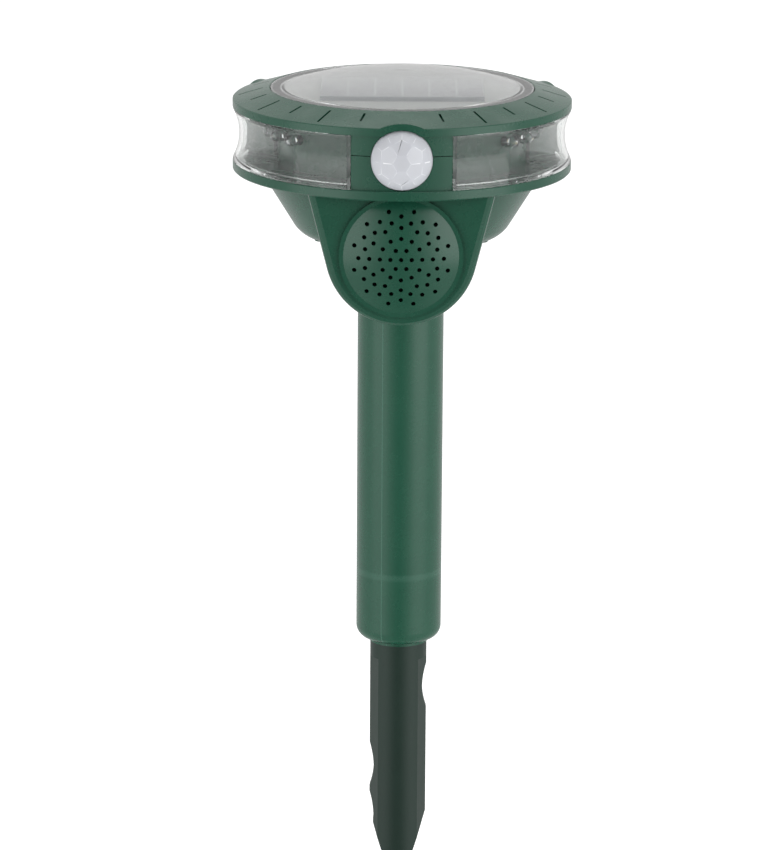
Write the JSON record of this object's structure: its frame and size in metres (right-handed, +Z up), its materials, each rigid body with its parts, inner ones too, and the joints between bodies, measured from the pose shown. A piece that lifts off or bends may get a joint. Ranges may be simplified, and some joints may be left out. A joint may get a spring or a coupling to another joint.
{
  "type": "ultrasonic pest repeller",
  "caption": "Solar garden pest repeller: round head with flashing windows, motion-sensor lenses and a loudspeaker pod, on a pole with a ground stake.",
  "frame": {"origin": "on the pole's axis at ground level, where the stake leaves the pole", "axes": "+Z up along the pole, -Y to the front, the side of the loudspeaker pod, +X to the viewer's right when facing the front"},
  "size_m": [0.145, 0.152, 0.3692],
  "materials": {
    "green_shell": "semi-gloss moulded, fine grain",
    "green_pole": "semi-gloss extruded tube",
    "green_stake": "satin moulded",
    "clear_window": "clear polished plastic",
    "clear_dome": "clear polished plastic",
    "led_lens": "clear epoxy",
    "milky_lens": "milky polythene with faceted inner side",
    "solar_cell": "epoxy-coated cells",
    "tray_plastic": "pale moulded",
    "pale_silicone": "pale translucent seal",
    "seal_rubber": "soft black",
    "circuit_board": "solder mask",
    "black_plastic": "satin moulded",
    "speaker_black": "moulded",
    "cone_paper": "pressed paper",
    "bright_metal": "plated",
    "screw_steel": "zinc plated",
    "copper_coil": "enamelled copper",
    "cell_sleeve": "printed film, no lettering",
    "capacitor_sleeve": "shrink sleeve",
    "lead_insulation": "red and black insulation",
    "button_red": "satin moulded"
  },
  "bodies": {
    "stake": {"ground_stake": "green_stake"},
    "pole": {"pole": "green_pole"},
    "mode_knob": {"mode_knob": "black_plastic"},
    "power_button": {"power_button": "button_red"},
    "usb_cover": {"usb_cover": "black_plastic"},
    "head": {"lower_shell": "green_shell", "upper_shell": "green_shell", "top_cover": "green_shell", "panel_dome": "clear_dome", "dome_gasket": "pale_silicone", "solar_panel": "solar_cell", "panel_tray": "tray_plastic", "window_left": "clear_window", "window_right": "clear_window", "window_rear": "clear_window", "pir_lens_front": "milky_lens", "pir_lens_left": "milky_lens", "pir_lens_right": "milky_lens", "pir_sensor_front": "bright_metal", "pir_sensor_left": "bright_metal", "pir_sensor_right": "bright_metal", "pir_board_front": "circuit_board", "pir_board_left": "circuit_board", "pir_board_right": "circuit_board", "leds_left": "led_lens", "leds_right": "led_lens", "leds_rear": "led_lens", "led_leads": "bright_metal", "led_board": "circuit_board", "speaker_grille": "green_shell", "speaker_frame": "speaker_black", "speaker_cone": "cone_paper", "speaker_seal": "seal_rubber", "speaker_screws": "screw_steel", "speaker_lead": "lead_insulation", "panel_lead": "lead_insulation", "main_board": "circuit_board", "controller_chip": "black_plastic", "boost_coil": "copper_coil", "capacitors": "capacitor_sleeve", "battery_box": "black_plastic", "battery_cells": "cell_sleeve", "battery_contacts": "bright_metal", "control_board": "circuit_board", "mode_switch": "black_plastic", "button_switch": "black_plastic", "usb_socket": "bright_metal", "cover_pin": "bright_metal", "case_screws": "screw_steel", "cover_screws": "screw_steel"}
  },
  "joints": [
    {"name": "pole_lift", "type": "slide", "parent": "stake", "child": "pole", "axis": [0, 0, 1], "range_m": [0, 0.045]},
    {"name": "head_lift", "type": "slide", "parent": "pole", "child": "head", "axis": [0, 0, 1], "range_m": [0, 0.04]},
    {"name": "mode_turn", "type": "hinge", "parent": "head", "child": "mode_knob", "pos_m": [0.02221, 0.01864, 0.1823], "axis": [0, 0, 1], "range_deg": [-120, 120]},
    {"name": "button_press", "type": "slide", "parent": "head", "child": "power_button", "axis": [0, 0, 1], "range_m": [0, 0.001], "stiffness_N_per_m": 400},
    {"name": "cover_swing", "type": "hinge", "parent": "head", "child": "usb_cover", "pos_m": [-0.02681, 0.0225, 0.181], "axis": [0.6428, 0.766, 0], "range_deg": [0, 110]}
  ]
}
